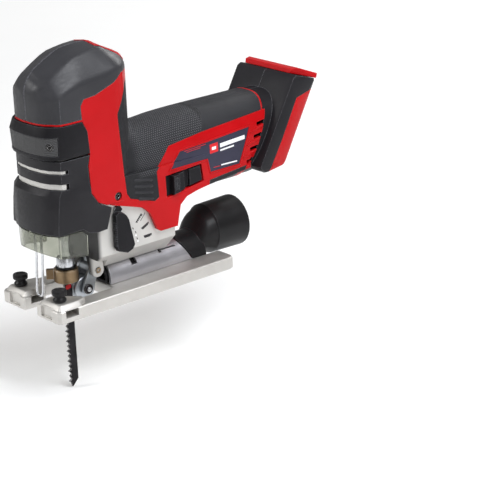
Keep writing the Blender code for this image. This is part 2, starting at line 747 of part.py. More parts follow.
def build_drive():
    """Crank gear on its axle, the sliding counterweight, and the plunger with its yoke and guides."""
    axis = (0.0, 0.0, GEAR_Z)
    yoke_z = GEAR_Z - CRANK_RADIUS
    gear = cut(rod(axis, "y", 17.8, 44.2, 51.5, 48), rod(axis, "y", 3.3, 40.0, 60.0, 20))
    piece("crank_gear", gear, "steel", pivot=(0.0, 48.0, GEAR_Z))
    piece(
        "crank_pin", rod((0.0, 0.0, yoke_z), "y", 2.8, 29.5, 43.9, 16), "steel",
        pivot=(0.0, BLADE_Y, yoke_z)
    )
    axle = [(3.0, 45.0), (3.0, 65.5)]
    piece("gear_axle", turned(axle, axis, "y", 16), "steel")
    weight = cut(box(-17.9, 17.9, 39.4, 43.6, 93.0, 153.0), box(-16.6, 16.6, 35.0, 47.0, 98.8, 147.0))
    piece("counterweight", weight, "steel", pivot=(0.0, 41.5, 120.0))
    plunger = join(
        rod((0.0, BLADE_Y, 0.0), "z", 4.4, 36.3, 141.0, 20),
        rounded(box(-17.8, 17.8, 28.2, 38.4, yoke_z - 6.0, yoke_z + 6.0), 0.6, 1)
    )
    plunger = cut(plunger, box(-16.4, 16.4, 20.0, 45.0, yoke_z - 3.1, yoke_z + 3.1))
    piece("plunger", plunger, "steel", pivot=(0.0, BLADE_Y, 36.3))
    guide = cut(
        box(-18.0, 18.0, 25.0, 39.0, 137.0, 145.0), rod((0.0, BLADE_Y, 0.0), "z", 4.8, 130.0, 150.0, 20)
    )
    piece("upper_guide", guide, "bronze")
    bush = cut(
        rod((0.0, BLADE_Y, 0.0), "z", 8.0, 63.0, 72.0, 24),
        rod((0.0, BLADE_Y, 0.0), "z", 4.8, 60.0, 75.0, 20)
    )
    piece("lower_bushing", bush, "bronze")


def blade_outline():
    """T-shank blade with coarse and fine teeth in turn, as (y, z) points."""
    back, tip, shank = 36.9, -67.0, 33.0
    front = 30.2
    outline = [
        (back - 0.5, shank - 3.0), (back + 1.0, shank - 3.0), (back + 1.0, shank), (front - 2.0, shank),
        (front - 2.0, shank - 3.0), (front - 0.2, shank - 3.0), (front - 0.2, 12.0)
    ]
    for i in range(19):
        z = 9.0 - 3.95 * i
        depth = 1.9 if i % 2 else 2.7
        outline += [(front + 0.9, z + 1.2), (front + 1.1 - depth, z), (front + 0.1, z - 1.2)]
    outline += [(31.6, tip), (back, -61.5), (back, 10.0), (back - 0.5, 13.0)]
    return outline


def build_blade_end():
    """Clamp collar, clamp ring with its finger tab, blade, guard wire."""
    centre = (0.0, BLADE_Y, 0.0)
    collar = turned([(5.2, 27.0), (6.5, 27.8), (6.5, 34.5), (5.6, 36.0)], centre, "z", 24)
    piece("clamp_collar", cut(collar, box(-1.0, 1.0, 27.4, 38.7, 20.0, 33.4)), "steel")
    tab = box(-1.4, 1.4, 18.5, 26.0, 18.0, 26.0)
    tab = turned_aside(tab, -38.0, centre)
    ring = turned([(8.4, 16.3), (9.1, 17.0), (9.1, 25.9), (8.4, 26.6)], centre, "z", 28)
    ring = cut(join(ring, rounded(tab, 0.4, 1)), rod(centre, "z", 5.6, 10.0, 30.0, 24))
    piece("clamp_ring", ring, "bronze", pivot=(0.0, BLADE_Y, 21.4))
    piece("blade", along_x(blade_outline(), -0.65, 0.65), "black_steel", pivot=(0.0, BLADE_Y, 16.0))
    path = [
        (-3.7, 21.0, 66.0), (-3.7, 14.5, 65.0), (-3.7, 12.2, 61.0), (-3.7, 11.4, 45.0),
        (-3.7, 9.3, 15.0)
    ]
    bend = [
        (-3.7 * math.cos(a), 9.2, 15.0 - 3.7 * math.sin(a))
        for a in [math.pi * i / 8 for i in range(1, 8)]
    ]
    path = path + bend + [(-x, y, z) for x, y, z in reversed(path)]
    piece("guard_wire", tube_along(path, 0.9), "steel")


def build_roller():
    """Fork with the grooved roller that backs the blade, on its pivot in the case's two lugs."""
    arms = []
    for side in (-1.0, 1.0):
        outline = arm_outline((PIVOT_Y, PIVOT_Z), (ROLLER_Y, ROLLER_Z), 4.8, 4.4)
        arms.append(along_x(outline, *sorted((side * 5.6, side * 7.4))))
    tongue = box(-4.0, 4.0, 52.0, 56.0, PIVOT_Z, 61.0)
    fork = join(rod((0.0, PIVOT_Y, PIVOT_Z), "x", 4.4, -7.0, 7.0, 20), *arms, tongue)
    fork = cut(
        fork, rod((0.0, PIVOT_Y, PIVOT_Z), "x", 2.5, -20.0, 20.0, 16),
        rod((0.0, ROLLER_Y, ROLLER_Z), "x", 2.1, -20.0, 20.0, 16)
    )
    piece("roller_fork", fork, "steel", pivot=(0.0, PIVOT_Y, PIVOT_Z))
    rim = [
        (8.4, -4.2), (9.0, -3.6), (9.0, -1.4), (8.2, -0.7), (8.2, 0.7), (9.0, 1.4), (9.0, 3.6),
        (8.4, 4.2)
    ]
    roller = cut(
        turned(rim, (0.0, ROLLER_Y, ROLLER_Z), "x", 36),
        rod((0.0, ROLLER_Y, ROLLER_Z), "x", 2.1, -20.0, 20.0, 16)
    )
    piece("roller", roller, "steel", pivot=(0.0, ROLLER_Y, ROLLER_Z))
    pin = turned(
        [(1.8, -7.9), (1.8, 7.7), (3.6, 7.7), (3.6, 8.4), (1.9, 8.6), (1.9, 9.2)],
        (0.0, ROLLER_Y, ROLLER_Z), "x", 16
    )
    piece("roller_pin", pin, "black_steel", pivot=(0.0, ROLLER_Y, ROLLER_Z))
    piece("fork_pivot", rod((0.0, PIVOT_Y, PIVOT_Z), "x", 2.2, -12.2, 12.2, 16), "black_steel")


def build_lever():
    """The pendulum lever on the left of the case, with its shaft and cam."""
    handle = rounded(
        along_x(arm_outline((LEVER_Y, LEVER_Z - 2.5), (70.5, 41.0), 4.3, 6.0), 24.0, 29.0), 1.2, 2
    )
    shaft = rod((0.0, LEVER_Y, LEVER_Z), "x", 3.3, -3.0, 25.0, 16)
    cam = rod((0.0, LEVER_Y - 1.6, LEVER_Z - 5.0), "x", 4.2, -4.0, 4.0, 20)
    link = box(-3.5, 3.5, LEVER_Y - 3.0, LEVER_Y + 2.5, LEVER_Z - 7.0, LEVER_Z)
    piece(
        "pendulum_lever", join(handle, shaft, cam, link), "dark_plastic", pivot=(24.0, LEVER_Y, LEVER_Z)
    )


def raised_foot():
    """The raised front corner of the sole: sloping front and sides, and a shallow recess in its nose."""
    def ring(inset, z):
        outline = [
            (8.6 + 0.5 * inset, inset), (32.6 - 0.4 * inset, inset), (35.5 - inset, 2.9 + 0.6 * inset),
            (35.5 - inset, 20.0), (30.0, 27.0), (25.5, 27.0), (8.6 + 0.5 * inset, 12.0)
        ]
        return [(x, y, z) for x, y in outline]

    foot = rounded(loft([ring(0.4, 4.0), ring(0.4, 8.4), ring(4.2, 13.0)]), 0.9, 2, 20.0)
    return cut(foot, box(13.0, 26.0, -2.0, 2.0, 2.0, 16.0))


def build_sole():
    """Cast sole open at the front and back, with two raised feet slotted for a guide rail."""
    half, length = SOLE_HALF, SOLE_LENGTH
    outline = [
        (7.5, 0.0), (33.0, 0.0), (half, 2.5), (half, length - 5.0), (half - 1.5, length - 1.5),
        (half - 5.0, length), (15.5, length)
    ]
    outline += [(15.5, 139.0), (-4.0, 139.0)]
    notch = [(7.5, 19.0), (13.0, 20.8), (20.5, 28.0), (20.5, 59.2), (-4.0, 59.2)]
    half_plan = notch[::-1] + outline
    right = rounded(along_z(half_plan, 0.0, SOLE_TOP), 0.8, 1, 60.0)
    right = join(cut(right, box(13.0, 26.0, -2.0, 1.6, 2.0, 16.0)), raised_foot())
    right = cut(right, box(-1.0, 15.0, 60.0, 132.0, 4.5, 20.0), box(-50.0, 50.0, 6.0, 17.0, 3.8, 9.2))
    right = cut(right, rod((KNOB_X, KNOB_Y, 0.0), "z", 2.4, 6.0, 20.0, 16))
    sole = join(right, mirrored(right))
    sole = cut(
        sole, rod((0.0, 95.0, 0.0), "z", 3.4, -5.0, 10.0, 16),
        rod((0.0, 95.0, 0.0), "z", 6.4, -5.0, 2.2, 20)
    )
    piece("sole_plate", sole, "cast_aluminium", pivot=(0.0, 95.0, BEVEL_Z))


SADDLE_SIDE = [(60.2, 9.0), (62.6, 28.0), (126.8, 28.0), (137.6, 9.0)]
COLLAR_SIDE = [(138.1, 9.0), (127.3, 28.0), (151.0, 28.0), (151.0, 9.0)]


def half_round(radius):
    """An arch over the tilting axis, down to just above the sole, as (x, z) points."""
    angles = [math.pi * i / 20 for i in range(21)]
    arch = [(radius * math.cos(a), BEVEL_Z + radius * math.sin(a)) for a in angles]
    return [(radius, SOLE_TOP + GAP)] + arch + [(-radius, SOLE_TOP + GAP)]


def build_saddle():
    """Half-round bevel saddle on the sole, the suction duct inside it and the screw that holds it."""
    outline = half_round(SADDLE_RADIUS) + half_round(SADDLE_RADIUS - 2.4)[::-1]
    saddle = common(along_y(outline, 50.0, 150.0), region(SADDLE_SIDE))
    saddle = cut(
        saddle, box(-14.3, 14.3, 82.3, 87.6, 18.7, 30.0), box(8.0, 15.0, 109.2, 111.6, 20.6, 23.0),
        box(8.0, 15.0, 111.0, 125.7, 21.9, 22.7)
    )
    piece("saddle", saddle, "sheet_aluminium", pivot=(0.0, 95.0, BEVEL_Z))
    duct = [
        (12.6, 10.2), (12.4, 15.0), (9.4, 19.8), (4.8, 22.6), (-4.8, 22.6), (-9.4, 19.8),
        (-12.4, 15.0), (-12.6, 10.2)
    ]
    bore = [
        (10.9, 11.8), (10.7, 14.6), (8.2, 18.5), (4.2, 20.9), (-4.2, 20.9), (-8.2, 18.5),
        (-10.7, 14.6), (-10.9, 11.8)
    ]
    piece("suction_duct", cut(along_y(duct, 59.6, 112.0), along_y(bore, 50.0, 120.0)), "dark_plastic")
    screw = turned([(6.0, 0.3), (6.0, 1.9), (3.0, 2.0), (3.0, 4.2)], (0.0, 95.0, 0.0), "z", 20)
    piece("bevel_screw", screw, "steel")


def build_knobs():
    """The two thumb screws that clamp a guide rail in the feet."""
    for name, side in (("knob_left", 1.0), ("knob_right", -1.0)):
        centre = (side * KNOB_X, KNOB_Y, 0.0)
        profile = [
            (2.1, 9.6), (2.1, 13.3), (4.6, 13.4), (4.9, 14.4), (3.8, 16.2), (4.2, 17.4), (5.4, 18.4),
            (5.5, 21.2), (4.8, 22.2)
        ]
        piece(name, turned(profile, centre, "z", 24), "black_steel", pivot=(centre[0], centre[1], 13.3))


def oval_ring(y, centre_z, half, reach, steps=32):
    angles = [2 * math.pi * i / steps for i in range(steps)]
    return [(half * math.cos(a), y, centre_z + reach * math.sin(a)) for a in angles]


def build_spout():
    """Dust spout: an oval neck that pushes into the saddle, swelling to a round hose socket."""
    stations = [
        # y, centre height, half width, half height
        (113.0, 16.2, 11.5, 5.9),
        (137.0, 16.2, 11.5, 5.9),
        (146.0, 17.0, 12.4, 7.0),
        (150.0, 19.2, 14.8, 10.0),
        (153.0, 21.2, 16.3, 13.4),
        (156.5, 22.4, 17.3, 16.3),
        (162.5, 23.1, 18.2, 18.6),
        (163.5, SPOUT_Z, 19.3, 19.3),
        (193.0, SPOUT_Z, SPOUT_RADIUS, SPOUT_RADIUS),
    ]
    outer = loft([oval_ring(*station) for station in stations])
    inner = loft(
        [
            oval_ring(y, z, half - 1.9, reach - 1.9) for y, z, half,
            reach in [(110.0,) + stations[0][1:]] + stations[1:-1] + [(196.0,) + stations[-1][1:]]
        ]
    )
    collar = common(along_y(half_round(SADDLE_RADIUS + 0.5), 120.0, 160.0), region(COLLAR_SIDE))
    piece("dust_spout", cut(join(outer, collar), inner), "dark_plastic", pivot=(0.0, 140.0, SPOUT_Z))


def clear_scene():
    for found in list(bpy.data.objects):
        bpy.data.objects.remove(found)


clear_scene()
build_shells()
build_cap()
build_front()
build_foot()
build_switch()
build_motor()
build_gear_case()
build_drive()
build_blade_end()
build_roller()
build_lever()
build_sole()
build_saddle()
build_knobs()
build_spout()
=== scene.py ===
"""Looks of the cordless jigsaw: materials, fine pieces, floor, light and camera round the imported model.

Lengths in the millimetre tables use the part's own layout: X across the tool (+X its left side),
Y back from the front edge of the sole, Z up from the sole's underside.
"""

import math

import bmesh
import bpy
from mathutils import Matrix, Vector
from mathutils.bvhtree import BVHTree


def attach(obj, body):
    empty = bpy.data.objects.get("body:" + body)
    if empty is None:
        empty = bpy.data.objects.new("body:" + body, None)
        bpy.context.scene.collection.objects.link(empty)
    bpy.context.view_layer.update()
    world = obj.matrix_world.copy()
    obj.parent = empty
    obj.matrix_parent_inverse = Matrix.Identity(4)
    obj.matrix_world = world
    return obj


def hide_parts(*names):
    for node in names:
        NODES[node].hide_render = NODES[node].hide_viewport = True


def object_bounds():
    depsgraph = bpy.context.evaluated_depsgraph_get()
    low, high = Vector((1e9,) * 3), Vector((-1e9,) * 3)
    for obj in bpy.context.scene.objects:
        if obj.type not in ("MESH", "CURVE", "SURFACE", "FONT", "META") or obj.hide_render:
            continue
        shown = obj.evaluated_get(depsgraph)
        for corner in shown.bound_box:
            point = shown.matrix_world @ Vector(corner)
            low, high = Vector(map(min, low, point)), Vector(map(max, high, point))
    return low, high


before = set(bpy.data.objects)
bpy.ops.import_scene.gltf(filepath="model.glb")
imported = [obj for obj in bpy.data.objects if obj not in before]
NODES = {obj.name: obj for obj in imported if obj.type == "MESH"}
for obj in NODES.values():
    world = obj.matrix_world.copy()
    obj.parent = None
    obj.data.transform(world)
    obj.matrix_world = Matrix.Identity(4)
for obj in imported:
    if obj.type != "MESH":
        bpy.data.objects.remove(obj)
cad_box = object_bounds()

MM = 0.001
DATUM_Y = 80.0
SIDES = (("left", 1.0), ("right", -1.0))

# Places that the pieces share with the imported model: pivots and axles are (y, z), slots are (low, high)
PLUNGER_Y = 33.0
BARREL_Z = 92.0
BARREL_RADIUS = 29.0
CASE_FACE_X = 24.4
LEVER_PIVOT = (65.0, 68.0)
ROLLER_AXLE = (46.3, 8.0)
THUMB_SCREW_X, THUMB_SCREW_Y = 24.0, 9.2
FOOT_LEAN = math.radians(24.0)
SLOT_HEIGHTS = ((94.4, 98.4), (105.8, 108.1))

# Outlines seen from the side, as (y, z) points
LABEL = [(123.0, 99.0), (190.3, 103.6), (178.8, 77.3), (150.4, 77.2), (148.2, 88.0), (112.5, 87.5)]
LEVER = [
    (59.4, 66.0), (62.0, 67.6), (66.5, 66.4), (69.4, 63.8), (71.4, 60.2), (75.6, 40.4), (73.4, 37.0),
    (68.6, 35.3), (60.8, 38.2), (59.2, 41.0),
]
BUTTON = [(113.4, 68.7), (119.6, 69.6), (119.3, 83.7), (113.2, 83.2)]
BUTTON_TAIL = [(119.2, 69.6), (124.9, 70.4), (124.4, 84.0), (118.9, 83.7)]


def at(x, y, z):
    """A point of the millimetre layout, in metres in the row frame."""
    return Vector((x, y - DATUM_Y, z)) * MM


def paint(red, green, blue):
    """A screen colour, 0 to 255, as the linear colour that shaders take."""
    linear = [((c / 255 + 0.055) / 1.055) ** 2.4 if c > 10 else c / 3294.6 for c in (red, green, blue)]
    return (*linear, 1.0)


# ---- materials ----
# Near-white edge colour of bare metal: wear and painted highlight
EDGE_WEAR_AND_HIGHLIGHT = paint(244, 243, 240)
# Painted shade for the cavity behind the clear cover
CAVITY_SHADE = paint(26, 27, 30)


class Surface:
    """One procedural material: a principled shader and short calls for the nodes that feed it."""

    def __init__(self, name, **settings):
        self.material = bpy.data.materials.new(name)
        self.material.use_nodes = True
        self.tree = self.material.node_tree
        self.tree.nodes.clear()
        self.shader = self.node("ShaderNodeBsdfPrincipled")
        for socket, value in settings.items():
            self.shader.inputs[socket.replace("_", " ")].default_value = value
        self.node("ShaderNodeOutputMaterial", Surface=self.shader.outputs["BSDF"])
        self.place = self.node("ShaderNodeTexCoord").outputs["Object"]

    def node(self, kind, settings=None, **inputs):
        made = self.tree.nodes.new(kind)
        for name, value in (settings or {}).items():
            setattr(made, name, value)
        for name, value in inputs.items():
            self.feed(made.inputs[name.replace("_", " ")], value)
        return made

    def feed(self, socket, value):
        if isinstance(value, bpy.types.NodeSocket):
            self.tree.links.new(value, socket)
        else:
            socket.default_value = value

    def maths(self, operation, *values):
        made = self.node("ShaderNodeMath", {"operation": operation})
        for socket, value in zip(made.inputs, values):
            self.feed(socket, value)
        return made.outputs[0]

    def axes(self):
        made = self.node("ShaderNodeSeparateXYZ", Vector=self.place)
        return made.outputs["X"], made.outputs["Y"], made.outputs["Z"]

    def noise(self, per_metre, detail=3.0, stretch=(1.0, 1.0, 1.0), turn=(0.0, 0.0, 0.0)):
        spot = self.node("ShaderNodeMapping", Vector=self.place, Scale=stretch, Rotation=turn)
        made = self.node("ShaderNodeTexNoise", Vector=spot.outputs[0], Scale=per_metre, Detail=detail)
        return made.outputs[0]

    def span(self, value, low, high, to_low=0.0, to_high=1.0):
        made = self.node("ShaderNodeMapRange", {"interpolation_type": "SMOOTHSTEP"})
        for socket, number in zip(made.inputs, (value, low, high, to_low, to_high)):
            self.feed(socket, number)
        return made.outputs[0]

    def mix(self, share, first, second):
        made = self.node("ShaderNodeMix", {"data_type": "RGBA"})
        self.feed(made.inputs[0], share)
        self.feed(made.inputs[6], first)
        self.feed(made.inputs[7], second)
        return made.outputs[2]

    def round_edges(self, radius_mm):
        """A normal that rolls over the edges, and a mask that is 1 along them."""
        rolled = self.node("ShaderNodeBevel", {"samples": 6}, Radius=radius_mm * MM).outputs[0]
        flat = self.node("ShaderNodeNewGeometry").outputs["Normal"]
        along = self.node("ShaderNodeVectorMath", {"operation": "DOT_PRODUCT"})
        self.feed(along.inputs[0], rolled)
        self.feed(along.inputs[1], flat)
        return rolled, self.span(along.outputs["Value"], 0.995, 0.90)

    def relief(self, height, depth_mm, normal=None):
        made = self.node("ShaderNodeBump", Height=height, Distance=depth_mm * MM, Strength=1.0)
        if normal is not None:
            self.feed(made.inputs["Normal"], normal)
        return made.outputs[0]

    def finish(self, colour=None, roughness=None, normal=None):
        for socket, value in (("Base Color", colour), ("Roughness", roughness), ("Normal", normal)):
            if value is not None:
                self.feed(self.shader.inputs[socket], value)
        return self.material


def moulded(name, tone, lighter, wear_and_highlight, roughness, grain_mm=0.45, depth_mm=0.02, edge_mm=0.7, shine=0.26):
    """Moulded plastic: fine spark texture, slow colour drift, and edges painted a little lighter, partly wear
    and partly painted highlight.
    """
    tone, lighter, wear_and_highlight = paint(*tone), paint(*lighter), paint(*wear_and_highlight)
    made = Surface(name, Specular_IOR_Level=shine)
    rolled, edge = made.round_edges(edge_mm)
    grain = made.noise(1 / (grain_mm * MM), 2.0)
    drift = made.noise(28.0, 4.0)
    scuff = made.noise(420.0, 5.0, (1.0, 0.25, 1.0))
    colour = made.mix(made.span(drift, 0.35, 0.65), tone, lighter)
    # Edges lighter: wear, with a painted highlight along every edge
    rubbed_and_lit = made.maths("MULTIPLY", edge, made.span(made.noise(900.0, 3.0), 0.35, 0.7, 0.25, 0.9))
    colour = made.mix(rubbed_and_lit, colour, wear_and_highlight)
    rough = made.span(scuff, 0.3, 0.75, roughness - 0.05, roughness + 0.07)
    return made.finish(colour, rough, made.relief(grain, depth_mm, rolled))


def cover_cavity_shade(made):
    """A mask that is 1 low on the front of the gear case, in the cavity behind the clear cover, where painted
    shade darkens the metal.
    """
    x, y, z = made.axes()
    front = made.span(y, (50 - DATUM_Y) * MM, (45 - DATUM_Y) * MM)
    return made.maths("MULTIPLY", front, made.span(z, 72 * MM, 68 * MM))


def metal(name, tone, lighter, roughness, brush=(1.0, 1.0, 1.0), per_metre=900.0, depth_mm=0.02,
          metallic=0.9, cavity_shade=None):
    """Bare metal: cast or brushed grain, smudges in the gloss, edges lighter from wear and painted highlight,
    and painted shade where a mask is given.
    """
    tone, lighter = paint(*tone), paint(*lighter)
    made = Surface(name, Metallic=metallic)
    rolled, edge = made.round_edges(0.4)
    grain = made.noise(per_metre, 3.0, brush)
    smudge = made.noise(90.0, 4.0)
    colour = made.mix(made.span(smudge, 0.35, 0.7), tone, lighter)
    # Edges lighter: wear, with a painted highlight along every edge
    colour = made.mix(made.maths("MULTIPLY", edge, 0.55), colour, EDGE_WEAR_AND_HIGHLIGHT)
    # Painted shade: where a mask is given, the metal is darkened by position, as if in shadow
    if cavity_shade:
        colour = made.mix(cavity_shade(made), colour, CAVITY_SHADE)
    dull = made.span(smudge, 0.3, 0.7, roughness - 0.02, roughness + 0.03)
    rough = made.maths("ADD", dull, made.span(grain, 0.3, 0.7, 0.0, 0.06))
    return made.finish(colour, rough, made.relief(grain, depth_mm, rolled))


def grip_rubber():
    """Soft grip: staggered raised dots on the barrel, plain towards the front and the foot."""
    made = Surface("grip_rubber", Specular_IOR_Level=0.30)
    rolled, edge = made.round_edges(0.8)
    x, y, z = made.axes()
    pitch = 1.75 * MM
    row_share = 0.87
    above = made.maths("SUBTRACT", z, BARREL_Z * MM)
    around = made.maths("MULTIPLY", made.maths("ARCTAN2", x, above), BARREL_RADIUS * MM)
    rows = made.maths("DIVIDE", around, pitch * row_share)
    row = made.maths("FLOOR", rows)
    stagger = made.maths("MULTIPLY", made.maths("MODULO", row, 2.0), 0.5)
    along = made.maths("FRACT", made.maths("ADD", made.maths("DIVIDE", y, pitch), stagger))
    off_x = made.maths("SUBTRACT", along, 0.5)
    off_y = made.maths("MULTIPLY", made.maths("SUBTRACT", made.maths("FRACT", rows), 0.5), row_share)
    square = made.maths("ADD", made.maths("POWER", off_x, 2.0), made.maths("POWER", off_y, 2.0))
    reach = made.maths("SQRT", square)
    dot = made.span(reach, 0.40, 0.20)
    behind = made.span(y, (80 - DATUM_Y) * MM, (90 - DATUM_Y) * MM)
    before = made.span(y, (150 - DATUM_Y) * MM, (146.5 - DATUM_Y) * MM)
    over = made.maths("MULTIPLY", made.span(z, 86 * MM, 90 * MM), made.span(z, 128 * MM, 123 * MM))
    field = made.maths("MULTIPLY", made.maths("MULTIPLY", behind, before), over)
    dots = made.maths("MULTIPLY", dot, field)
    grain = made.maths("MULTIPLY", made.noise(3200.0, 2.0), 0.06)
    height = made.maths("ADD", dots, grain)
    # The raised dots are painted lighter than the rubber: painted highlight. The edges are lighter from wear
    # and painted highlight.
    colour = made.mix(dots, paint(26, 26, 29), paint(84, 84, 88))
    colour = made.mix(made.maths("MULTIPLY", edge, 0.3), colour, paint(88, 88, 90))
    rough = made.span(made.noise(300.0, 4.0), 0.3, 0.7, 0.56, 0.68)
    return made.finish(colour, rough, made.relief(height, 0.35, rolled))


def hatched_rubber():
    """The pad on the front band: fine slanting ribs in soft rubber."""
    made = Surface("pad_rubber", Specular_IOR_Level=0.4)
    rolled, edge = made.round_edges(0.5)
    x, y, z = made.axes()
    slant = made.maths("ADD", made.maths("SUBTRACT", x, y), made.maths("MULTIPLY", z, 1.2))
    wave = made.maths("SINE", made.maths("MULTIPLY", slant, 2 * math.pi / (1.5 * MM)))
    # The ribs are painted lighter on their crests and darker in the grooves: painted highlight and shade. The
    # edges are lighter from wear and painted highlight.
    colour = made.mix(made.span(wave, -0.6, 0.8), paint(52, 52, 53), paint(72, 72, 73))
    colour = made.mix(made.maths("MULTIPLY", edge, 0.5), colour, paint(120, 120, 122))
    rough = made.span(made.noise(700.0, 3.0), 0.3, 0.7, 0.55, 0.66)
    return made.finish(colour, rough, made.relief(wave, 0.12, rolled))


def clear_polycarbonate():
    """Smoky clear cover, with faint swirls from wiping."""
    made = Surface("smoky_clear", IOR=1.45, Transmission_Weight=0.94)
    rolled, edge = made.round_edges(0.5)
    haze = made.noise(160.0, 5.0)
    colour = made.mix(made.span(haze, 0.3, 0.7), paint(158, 161, 146), paint(172, 174, 160))
    rough = made.span(made.noise(600.0, 4.0), 0.3, 0.7, 0.02, 0.06)
    return made.finish(colour, rough, made.relief(haze, 0.05, rolled))


# The third colour of each moulded finish is its lighter edge colour: wear and painted highlight.
FINISHES = {
    "red": moulded("red_housing", (176, 5, 12), (183, 8, 16), (222, 56, 54), 0.36, shine=0.16),
    "cap": moulded("cap_satin", (48, 48, 51), (54, 54, 57), (128, 128, 136), 0.40, edge_mm=1.2),
    "dark": moulded("dark_plastic", (29, 28, 31), (34, 33, 36), (112, 112, 116), 0.44, shine=0.22),
    "matt": moulded("matt_black", (22, 21, 24), (27, 26, 29), (98, 98, 102), 0.50, shine=0.16),
    "skin": moulded("barrel_skin", (38, 38, 41), (43, 43, 46), (84, 84, 88), 0.48, grain_mm=0.3),
    "black": moulded(
        "gloss_black", (25, 24, 25), (29, 28, 29), (80, 77, 80), 0.36, depth_mm=0.008, shine=0.20
    ),
    "grip": grip_rubber(),
    "pad": hatched_rubber(),
    "label": moulded("label_film", (44, 43, 60), (50, 49, 67), (90, 90, 112), 0.40, 0.8, 0.004, 0.3),
    "clear": clear_polycarbonate(),
    "cast": metal("cast_aluminium", (196, 193, 188), (203, 200, 195), 0.42, per_metre=1500.0, metallic=0.75),
    "case": metal(
        "case_aluminium", (200, 198, 194), (206, 204, 200), 0.46, per_metre=1700.0, metallic=0.55,
        # painted shade in the cavity behind the clear cover
        cavity_shade=cover_cavity_shade,
    ),
    "sheet": metal("rolled_sheet", (182, 180, 184), (192, 190, 194), 0.34, (1.0, 0.06, 1.0), 3000.0, 0.006),
    "steel": metal("bright_steel", (196, 198, 202), (220, 221, 224), 0.22, (0.2, 1.0, 1.0), 2600.0, 0.004),
    "zinc": metal("zinc_plate", (150, 155, 160), (172, 177, 182), 0.30, (0.3, 1.0, 1.0), 2600.0, 0.004),
    "black_steel": metal("black_steel", (34, 33, 34), (46, 44, 46), 0.36, per_metre=2200.0, depth_mm=0.01),
    "bronze": metal("sintered_bronze", (132, 110, 84), (160, 138, 108), 0.36, per_metre=2600.0),
    "copper": metal("copper", (190, 110, 70), (205, 128, 88), 0.34),
    "print_red": moulded("print_red", (204, 30, 36), (210, 36, 42), (226, 90, 90), 0.40, 0.8, 0.003, 0.1),
    "print_white": moulded(
        "print_white", (232, 232, 234), (242, 242, 243), (248, 248, 248), 0.42, 0.8, 0.003, 0.1
    ),
    "print_dark": moulded("print_dark", (52, 50, 52), (66, 64, 66), (96, 94, 96), 0.50, 0.8, 0.003, 0.1),
    "board": moulded("circuit_board", (30, 92, 52), (36, 104, 60), (120, 170, 130), 0.45, 0.8, 0.01, 0.2),
}

NODE_FINISH = {
    "red": "shell_left shell_right cap_plate foot_panel_left foot_panel_right foot_rim",
    "cap": "cap_left cap_right",
    "dark": "shroud foot_left foot_right belly_strip",
    "matt": "front_band switch_plate switch_slider pendulum_lever",
    "skin": "barrel_skin_left barrel_skin_right terminal_block",
    "black": "dust_spout suction_duct knob_left knob_right fan",
    "grip": "grip_left grip_right",
    "pad": "band_pad",
    "label": "label_left label_right",
    "clear": "clear_cover",
    "cast": "sole_plate",
    "case": "gear_case gear_cover bearing_plate",
    "sheet": "saddle",
    "steel": (
        "plunger clamp_collar guard_wire crank_gear crank_pin gear_axle rotor bearing_front bearing_rear"
    ),
    "zinc": "roller roller_fork roller_pin fork_pivot bevel_screw counterweight",
    "black_steel": "blade shell_screw band_screw",
    "bronze": "clamp_ring upper_guide lower_bushing",
    "copper": "stator contact_blades",
    "board": "control_board",
}


def soften(obj, degrees=32.0):
    """Shades the faceted mesh smooth, and keeps edges sharper than the angle."""
    mesh = obj.data
    if "custom_normal" in mesh.attributes:
        mesh.attributes.remove(mesh.attributes["custom_normal"])
    mesh.shade_smooth()
    weld = obj.modifiers.new("weld", "WELD")
    weld.merge_threshold = 0.002 * MM
    split = obj.modifiers.new("crease", "EDGE_SPLIT")
    split.split_angle = math.radians(degrees)
    split.use_edge_sharp = False


def dress():
    """Gives every CAD node its finish."""
    for finish, names in NODE_FINISH.items():
        for name in names.split():
            node = NODES[name]
            node.data.materials.clear()
            node.data.materials.append(FINISHES[finish])
            soften(node)


# ---- shapes, as bmeshes in the millimetre layout ----
def loft(rings):
    """A closed body through rings of equally many points, with flat ends."""
    shape = bmesh.new()
    rows = [[shape.verts.new(point) for point in ring] for ring in rings]
    count = len(rows[0])
    for lower, upper in zip(rows, rows[1:]):
        for i in range(count):
            j = (i + 1) % count
            shape.faces.new((lower[i], lower[j], upper[j], upper[i]))
    shape.faces.new(rows[0][::-1])
    shape.faces.new(rows[-1])
    return shape


def hexagon(angle):
    """The reach of a hexagon with its corners on the unit circle, by angle."""
    return 0.866 / math.cos((angle + math.pi / 6) % (math.pi / 3) - math.pi / 6)


def knurl(angle):
    """The reach of a knurled rim with 18 rounded teeth, by angle."""
    return 1.0 - 0.05 * abs(math.sin(9 * angle)) ** 3


def turned(profile, centre, axis, steps=36):
    """A body round an axis: rows of radius and distance along it, and an outline where it isn't round."""
    along = Vector(axis).normalized()
    across = along.orthogonal().normalized()
    third = along.cross(across)
    rings = []
    for radius, distance, *outline in profile:
        ring = []
        for i in range(steps):
            angle = 2 * math.pi * i / steps
            reach = radius * (outline[0](angle) if outline else 1.0)
            outwards = across * math.cos(angle) + third * math.sin(angle)
            ring.append(Vector(centre) + along * distance + outwards * reach)
        rings.append(ring)
    return loft(rings)


def prism(outline, low, high):
    """An outline of (y, z) points carried across from one x to another."""
    return loft([[(x, y, z) for y, z in outline] for x in (low, high)])


